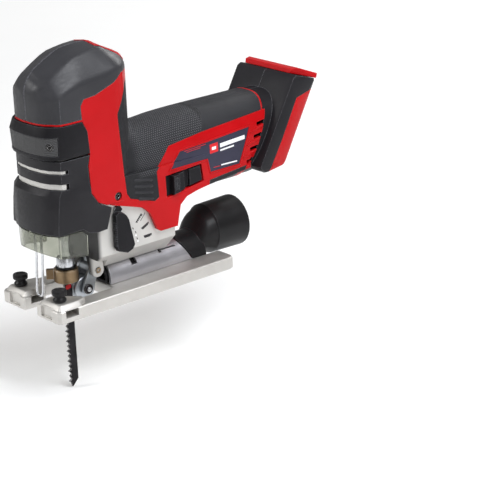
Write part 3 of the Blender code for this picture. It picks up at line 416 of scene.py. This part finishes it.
def tube(points, radius, steps=10, closed=False):
    """A round bar along points, with its ends shut or its ring joined up."""
    points = [Vector(p) for p in points]
    count = len(points)
    rings = []
    for i, point in enumerate(points):
        before = points[(i - 1) % count] if closed or i > 0 else point
        after = points[(i + 1) % count] if closed or i < count - 1 else point
        along = (after - before).normalized()
        up = Vector((1.0, 0.0, 0.0)) if abs(along.x) < 0.8 else Vector((0.0, 0.0, 1.0))
        side = along.cross(up).normalized()
        up = side.cross(along).normalized()
        angles = [2 * math.pi * k / steps for k in range(steps)]
        rings.append([point + (side * math.cos(a) + up * math.sin(a)) * radius for a in angles])
    if not closed:
        return loft(rings)
    shape = bmesh.new()
    rows = [[shape.verts.new(p) for p in ring] for ring in rings]
    for lower, upper in zip(rows, rows[1:] + rows[:1]):
        for k in range(steps):
            j = (k + 1) % steps
            shape.faces.new((lower[k], lower[j], upper[j], upper[k]))
    return shape


def together(*shapes):
    """Several closed bodies as one shape."""
    whole = bmesh.new()
    for shape in shapes:
        mesh = bpy.data.meshes.new("part")
        shape.to_mesh(mesh)
        shape.free()
        whole.from_mesh(mesh)
        bpy.data.meshes.remove(mesh)
    return whole


def skin_of(name):
    """The faces of a CAD node, for finding where its surface lies."""
    mesh = NODES[name].data
    points = [v.co / MM + Vector((0.0, DATUM_Y, 0.0)) for v in mesh.vertices]
    return BVHTree.FromPolygons(points, [list(face.vertices) for face in mesh.polygons])


def surface_x(skin, side, y, z):
    """How far out the surface is at a place on one side of the tool."""
    hit = skin.ray_cast(Vector((side * 60.0, y, z)), Vector((-side, 0.0, 0.0)))[0]
    return hit.x if hit else None


def sunk_point(skin, side, y, z, depth, fallback):
    """A point the given depth under the surface, or at the fallback's x where there is no surface."""
    x = surface_x(skin, side, y, z)
    return (side * fallback if x is None else x - side * depth, y, z)


def circle(radius, count):
    """Points of a circle round the origin."""
    angles = [2 * math.pi * k / count for k in range(count)]
    return [(radius * math.cos(angle), radius * math.sin(angle)) for angle in angles]


def laid_on(skin, side, outline, proud, fallback):
    """A thin closed patch that follows the surface, or lies at the fallback's x where there is none."""
    face = bmesh.new()
    face.faces.new([face.verts.new((0.0, y, z)) for y, z in outline])
    bmesh.ops.triangulate(face, faces=face.faces[:])
    for _ in range(6):
        long = [edge for edge in face.edges if edge.calc_length() > 2.5]
        if not long:
            break
        bmesh.ops.subdivide_edges(face, edges=long, cuts=1)
        bmesh.ops.triangulate(face, faces=face.faces[:])
    shape = bmesh.new()
    places = [(v.co.y, v.co.z) for v in face.verts]
    face.verts.index_update()
    depth = [surface_x(skin, side, y, z) for y, z in places]
    depth = [fallback if x is None else x for x in depth]
    outer = [shape.verts.new((x + side * proud, y, z)) for x, (y, z) in zip(depth, places)]
    inner = [shape.verts.new((x - side * 0.05, y, z)) for x, (y, z) in zip(depth, places)]
    for f in face.faces:
        shape.faces.new([outer[v.index] for v in f.verts])
        shape.faces.new([inner[v.index] for v in reversed(f.verts)])
    for edge in face.edges:
        if len(edge.link_faces) == 1:
            a, b = (v.index for v in edge.verts)
            shape.faces.new((outer[a], outer[b], inner[b], inner[a]))
    face.free()
    return shape


def add_piece(name, shape, finish, body, replaces=(), crease=35.0):
    """Turns a shape into an object of the tool that rides on a CAD body."""
    bmesh.ops.recalc_face_normals(shape, faces=shape.faces[:])
    for vertex in shape.verts:
        vertex.co = at(*vertex.co)
    mesh = bpy.data.meshes.new(name)
    shape.to_mesh(mesh)
    shape.free()
    mesh.materials.append(FINISHES[finish])
    made = bpy.data.objects.new(name, mesh)
    bpy.context.scene.collection.objects.link(made)
    soften(made, crease)
    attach(made, body)
    if replaces:
        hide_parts(*replaces)


# ---- fine pieces ----
def bar(y_low, y_high, z, tall, rise=0.06):
    """A level band on the label, drawn parallel to its upper edge."""
    lift = (y_high - y_low) * rise
    return [(y_low, z), (y_high, z + lift), (y_high, z + lift + tall), (y_low, z + tall)]


def label_marks():
    """Plain marks in place of print: a red badge, white bars and fine red rules."""
    marks = {
        "badge": ("print_red", [bar(150.6, 158.6, 91.2, 7.0)]),
        "bars": ("print_white", [
            bar(152.6, 156.6, 93.6, 2.3), bar(160.6, 185.0, 94.0, 3.0), bar(160.6, 174.0, 91.2, 1.2),
            bar(161.0, 176.6, 79.9, 1.0, -0.02),
        ]),
        "rules": ("print_red", [
            bar(127.0, 147.0, 98.0, 0.4), bar(129.0, 142.0, 96.9, 0.3), bar(153.5, 160.0, 79.9, 0.4, -0.02),
        ]),
    }
    for word, side in SIDES:
        skin = skin_of("label_" + word)
        for mark, (finish, outlines) in marks.items():
            proud = 0.16 if mark == "bars" else 0.10
            shape = together(*[laid_on(skin, side, outline, proud, side * 26.5) for outline in outlines])
            add_piece(f"label_{mark}_{word}", shape, finish, "housing")


def offset(outline, distance):
    """The outline with each edge moved outwards, for outlines that run either way round."""
    area = sum(a[0] * b[1] - b[0] * a[1] for a, b in zip(outline, outline[1:] + outline[:1]))
    turn = 1.0 if area > 0 else -1.0
    grown = []
    for before, here, after in zip(outline[-1:] + outline[:-1], outline, outline[1:] + outline[:1]):
        first = (Vector(here) - Vector(before)).normalized()
        second = (Vector(after) - Vector(here)).normalized()
        both = Vector((first.y, -first.x)) * turn + Vector((second.y, -second.x)) * turn
        grown.append(Vector(here) + both * (2.0 * distance / max(0.7, both.length_squared)))
    return grown


def layered(outline, layers):
    """A body across the tool from one outline: rows of x and of how far the outline has grown there."""
    return loft([[(x, y, z) for y, z in offset(outline, grow)] for x, grow in layers])


def walked(outline, step):
    """Points every step along the sides of a closed outline."""
    points = []
    for start, end in zip(outline, outline[1:] + outline[:1]):
        count = max(1, round((end - start).length / step))
        points += [start.lerp(end, k / count) for k in range(count)]
    return points


def label_frames():
    """A rounded red rim round each label."""
    path = walked(offset(LABEL, 0.55), 2.5)
    for word, side in SIDES:
        skin = skin_of("shell_" + word)
        points = [sunk_point(skin, side, y, z, 0.15, 26.0) for y, z in path]
        rim = tube(points, 0.75, 10, closed=True)
        add_piece(f"label_frame_{word}", rim, "red", "housing", crease=60)


def front_band(low, high, front, half, corner):
    """A band across the front of the gear case between two heights, with slanted corners."""
    right = [
        (0.0, front), (0.45 * half, front + 1.0), (0.72 * half, front + 3.2), (0.80 * half, front + 5.0),
        (0.98 * half, corner - 1.5), (half, corner + 1.5),
    ]
    outline = right + [(x * 0.86, y + 3.2) for x, y in reversed(right)]
    outline += [(-x, y) for x, y in reversed(outline) if x > 0.01]
    return loft([[(x, y, z) for x, y in outline] for z in (low, high)])


def slot_lips():
    """The gear case cover with the two raised bands that fill the slots of the shroud."""
    bands = [front_band(87.0, 139.0, 11.1, 24.6, 20.4)]
    for low, high in SLOT_HEIGHTS:
        bands.append(front_band(low, high, 8.7, 26.9, 18.2))
    add_piece("slot_lips", together(*bands), "case", "housing", ["gear_cover"])


def socket_screw(name, centre, axis, radius, height, body, replaces, finish="black_steel"):
    """A round screw head with a hexagon socket and a chamfered rim."""
    rim = [
        (radius, 0.0), (radius, height * 0.75), (radius * 0.86, height),
        (radius * 0.52, height, hexagon), (radius * 0.48, height * 0.9, hexagon),
        (radius * 0.44, height * 0.15, hexagon),
    ]
    add_piece(name, turned(rim, centre, axis), finish, body, replaces)


def screws():
    """The screw heads of the housing, the front band and the lug, and the roller's pin with its screw."""
    across = (1, 0, 0)
    roller_y, roller_z = ROLLER_AXLE
    socket_screw("shell_screw_head", (CASE_FACE_X, 64.0, 79.0), across, 2.9, 2.4, "housing", ["shell_screw"])
    socket_screw("band_screw_head", (21.3, 12.4, 125.8), (1, -1, 0), 2.9, 2.3, "housing", ["band_screw"])
    socket_screw("lug_screw_left", (12.0, 53.0, 22.0), across, 2.1, 0.9, "housing", [], "bronze")
    head = (8.5, roller_y, roller_z)
    socket_screw("roller_screw_head", head, across, 1.7, 1.0, "pendulum_fork", [], "steel")
    pin = [(1.9, -7.9), (1.9, 7.2), (3.9, 7.25), (3.9, 8.0), (3.4, 8.5), (2.4, 8.5)]
    washer = turned(pin, (0.0, roller_y, roller_z), across)
    add_piece("roller_washer", washer, "black_steel", "pendulum_fork", ["roller_pin"])


def thumb_screws():
    """Knurled thumb screws with a waist and a wide foot."""
    rows = [
        (2.1, 9.7), (2.1, 13.3), (4.3, 13.4), (4.9, 13.9), (4.9, 15.0), (4.2, 16.0), (3.6, 16.9), (3.9, 17.6),
        (5.2, 18.3, knurl), (5.5, 18.8, knurl), (5.5, 21.2, knurl), (5.1, 21.9, knurl),
        (4.4, 22.1), (3.8, 22.1), (3.4, 21.6),
    ]
    for word, side in SIDES:
        shape = turned(rows, (side * THUMB_SCREW_X, THUMB_SCREW_Y, 0.0), (0, 0, 1), 72)
        knob, body = "knob_" + word, f"thumb_screw_{word}"
        add_piece(f"thumb_screw_{word}_head", shape, "black", body, [knob])


def saw_mark(start, end, depth, teeth):
    """A small saw in outline: a straight back and a row of teeth on one side."""
    start, end = Vector(start), Vector(end)
    along = end - start
    down = Vector((along.y, -along.x)).normalized()
    back = [tuple(start), tuple(end)]
    points = []
    for i in range(teeth):
        share = 1.0 - (i + 0.2) / teeth
        points.append(tuple(start + along * share + down * depth))
        points.append(tuple(start + along * (share - 0.5 / teeth) + down * depth * 0.45))
    return back + points


def case_marks():
    """Marks for the three pendulum settings on the left of the gear case, and the lever's retaining ring."""
    skin = skin_of("gear_case")
    dark = [
        saw_mark((80.5, 54.3), (86.0, 60.2), 1.9, 6),
        saw_mark((85.1, 48.8), (92.3, 52.2), 2.0, 6),
        saw_mark((87.1, 42.6), (94.8, 42.8), 2.2, 6),
    ]
    arc = []
    for k in range(11):
        angle = 0.14 * k
        arc.append((89.4 - 4.6 * math.sin(angle) ** 2, 60.4 - 6.2 * angle / 1.4))
    dark.append(arc + [(y + 0.45, z - 0.2) for y, z in reversed(arc[1:-1])])
    for y, z in ((77.9, 50.4), (80.2, 47.0), (81.2, 42.0)):
        dark.append([(y - 0.6, z + 0.5), (y, z + 0.9), (y + 0.7, z - 0.5), (y + 0.1, z - 0.9)])
    patches = [laid_on(skin, 1.0, outline, 0.08, 23.6) for outline in dark]
    add_piece("case_marks", together(*patches), "print_dark", "housing")
    dots = []
    for y, z in ((80.3, 44.6), (81.8, 39.8)):
        outline = [(y + a, z + b) for a, b in circle(0.75, 12)]
        dots.append(laid_on(skin, 1.0, outline, 0.10, 23.6))
    add_piece("case_dots", together(*dots), "print_white", "housing")
    pivot_y, pivot_z = LEVER_PIVOT
    ring = [(CASE_FACE_X, pivot_y + a, pivot_z + b) for a, b in circle(3.1, 24)]
    add_piece("lever_ring", tube(ring, 0.5, 8, closed=True), "steel", "housing", crease=60)


def blade_mark():
    """The red colour code on the blade's shank end."""
    skin = skin_of("blade")
    patch = [(31.2, 9.4), (35.9, 10.2), (36.2, 13.6), (31.4, 12.6)]
    for word, side in SIDES:
        shape = laid_on(skin, side, patch, 0.05, side * 0.65)
        add_piece(f"blade_mark_{word}", shape, "print_red", "stroke_rod")


def clamp_trim():
    """Rubber seal above the clamp's ring."""
    ring = [(a, PLUNGER_Y + b, 27.4) for a, b in circle(6.6, 36)]
    add_piece("clamp_seal", tube(ring, 0.9, 10, closed=True), "black", "clamp_release", crease=60)


def lever_handle():
    """The pendulum lever: a bevelled paddle with a rounded hub and fine ribs along its front edge."""
    paddle = layered(LEVER, ((CASE_FACE_X, -0.2), (25.0, 0.0), (28.2, 0.0), (29.0, -0.45)))
    ribs = []
    for k in range(11):
        z = 42.5 + 1.7 * k
        ribs.append(prism([(59.0, z), (61.5, z + 0.3), (61.5, z + 0.9), (59.0, z + 0.6)], 25.2, 28.6))
    hub = turned([(3.4, 20.0), (3.4, 24.6)], (0.0, *LEVER_PIVOT), (1, 0, 0), 24)
    eye = prism([(60.4, 66.2), (65.0, 64.4), (68.2, 68.0), (66.4, 71.0), (63.0, 71.2)], 24.3, 25.3)
    shape = together(paddle, *ribs, hub, eye)
    add_piece("lever_handle", shape, "matt", "pendulum_selector", ["pendulum_lever"])


def switch_cap():
    """The slide switch's button: a high front step with fine ribs, and a lower tail."""
    step = layered(BUTTON, ((25.0, 0.0), (28.0, 0.0), (29.3, -0.125), (29.9, -0.45)))
    tail = layered(BUTTON_TAIL, ((25.0, 0.0), (27.3, 0.0), (28.0, -0.35)))
    ribs = []
    for y in (114.6, 116.0, 117.4):
        ribs.append(prism([(y, 72.0), (y + 0.5, 72.0), (y + 0.5, 81.6), (y, 81.6)], 29.7, 30.15))
    shape = together(step, tail, *ribs)
    add_piece("switch_button", shape, "matt", "switch", ["switch_slider"])


def grip_ribs():
    """Four raised ribs across the foot of the grip, sunk at both ends."""
    for word, side in SIDES:
        skin = skin_of("grip_" + word)
        ribs = []
        for i in range(4):
            points = []
            for k in range(8):
                y = 78.0 + 2.7 * k
                z = 87.4 - 4.7 * i - 0.19 * (y - 78.0)
                sunk = 1.9 if k in (0, 7) else 0.5
                points.append(sunk_point(skin, side, y, z, sunk, 24.0))
            ribs.append(tube(points, 1.4, 10))
        add_piece(f"grip_ribs_{word}", together(*ribs), "skin", "housing", crease=60)


def vent_fins():
    """Raised slanting fins between the cooling slots."""
    for word, side in SIDES:
        skin = skin_of("shell_" + word)
        fins = []
        for i in range(4):
            z = 100.3 - 9.0 * i
            y = 212.0 - (126.0 - z) * math.tan(FOOT_LEAN)
            spots = [(y - 9.5 + 1.9 * k, z - 1.7 + 0.5 * k) for k in range(7)]
            fins.append(tube([sunk_point(skin, side, *spot, 0.1, 25.5) for spot in spots], 0.8, 8))
        add_piece(f"vent_fins_{word}", together(*fins), "red", "housing", crease=60)


def fine_pieces():
    """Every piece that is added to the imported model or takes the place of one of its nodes."""
    label_marks()
    label_frames()
    slot_lips()
    screws()
    thumb_screws()
    case_marks()
    blade_mark()
    clamp_trim()
    lever_handle()
    switch_cap()
    vent_fins()
    grip_ribs()


# ---- floor, light and camera ----
def floor():
    """A wide pale floor just under the blade's tip, which stays pale towards the horizon."""
    made = Surface("pale_floor", Roughness=0.8, Emission_Color=(1.0, 1.0, 1.0, 1.0))
    seen = made.node("ShaderNodeLightPath").outputs["Is Camera Ray"]
    distance = made.node("ShaderNodeVectorMath", {"operation": "LENGTH"})
    made.feed(distance.inputs[0], made.place)
    far = made.span(distance.outputs["Value"], 0.3, 3.0, 0.0, 0.9)
    made.feed(made.shader.inputs["Emission Strength"], made.maths("MULTIPLY", seen, far))
    colour = made.mix(made.span(made.noise(6.0, 4.0), 0.3, 0.7), paint(250, 250, 249), paint(252, 252, 251))
    made.finish(colour, None, made.relief(made.noise(220.0, 3.0), 0.05))
    mesh = bpy.data.meshes.new("floor")
    reach = 6.0
    low = cad_box[0].z - 0.5 * MM
    corners = [(-reach, -reach, low), (reach, -reach, low), (reach, reach, low), (-reach, reach, low)]
    mesh.from_pydata(corners, [], [(0, 1, 2, 3)])
    ground = bpy.data.objects.new("floor", mesh)
    ground.data.materials.append(made.material)
    bpy.context.scene.collection.objects.link(ground)


def softbox(name, place, aim, size, power, tone=(1.0, 1.0, 1.0)):
    """A rectangular area light in watts, aimed at a point."""
    lamp = bpy.data.lights.new(name, "AREA")
    lamp.shape = "RECTANGLE"
    lamp.size, lamp.size_y = size
    lamp.energy = power
    lamp.color = tone
    holder = bpy.data.objects.new(name, lamp)
    holder.location = place
    holder.rotation_euler = (Vector(aim) - Vector(place)).to_track_quat("-Z", "Y").to_euler()
    bpy.context.scene.collection.objects.link(holder)


def lights():
    """Four softboxes round the tool and a soft white surround, brighter where it is seen directly."""
    middle = (0.0, 0.0, 0.09)
    softbox("key", (-0.75, -1.25, 0.85), middle, (0.6, 0.8), 13.0)
    softbox("side", (1.50, -0.35, 0.25), middle, (0.5, 1.0), 2.0)
    softbox("top", (0.75, 0.10, 1.15), middle, (0.8, 0.8), 19.0, (0.94, 0.96, 1.0))
    softbox("back", (-0.3, 1.4, 0.8), middle, (1.0, 0.6), 9.0)
    world = bpy.data.worlds.new("studio")
    world.use_nodes = True
    tree = world.node_tree
    seen = tree.nodes.new("ShaderNodeLightPath").outputs["Is Camera Ray"]
    strength = tree.nodes.new("ShaderNodeMapRange")
    strength.inputs["To Min"].default_value = 0.26
    strength.inputs["To Max"].default_value = 0.97
    tree.links.new(seen, strength.inputs["Value"])
    tree.links.new(strength.outputs["Result"], tree.nodes["Background"].inputs["Strength"])
    tree.nodes["Background"].inputs["Color"].default_value = (1.0, 1.0, 1.0, 1.0)
    bpy.context.scene.world = world


def camera():
    """Three-quarter view from the front left, a little above, with a slight roll."""
    azimuth, elevation, roll = math.radians(49.3), math.radians(19.6), math.radians(-2.1)
    distance, aside, above = 1.335, 0.1572, 0.0456
    level = Vector((math.cos(azimuth), math.sin(azimuth), 0.0))
    away = Vector((math.sin(azimuth), -math.cos(azimuth), 0.0))
    back = away * math.cos(elevation) + Vector((0.0, 0.0, math.sin(elevation)))
    upright = back.cross(level)
    right = level * math.cos(roll) + upright * math.sin(roll)
    up = upright * math.cos(roll) - level * math.sin(roll)
    lens = bpy.data.cameras.new("view")
    lens.lens = 133.9
    lens.clip_start = 0.1
    eye = bpy.data.objects.new("view", lens)
    turn = Matrix((right, up, back)).transposed()
    place = at(0.0, 0.0, 0.0) + distance * back + aside * right + above * up
    eye.matrix_world = Matrix.Translation(place) @ turn.to_4x4()
    bpy.context.scene.collection.objects.link(eye)
    bpy.context.scene.camera = eye
    bpy.context.scene.view_settings.view_transform = "Standard"


dress()
fine_pieces()
floor()
lights()
camera()
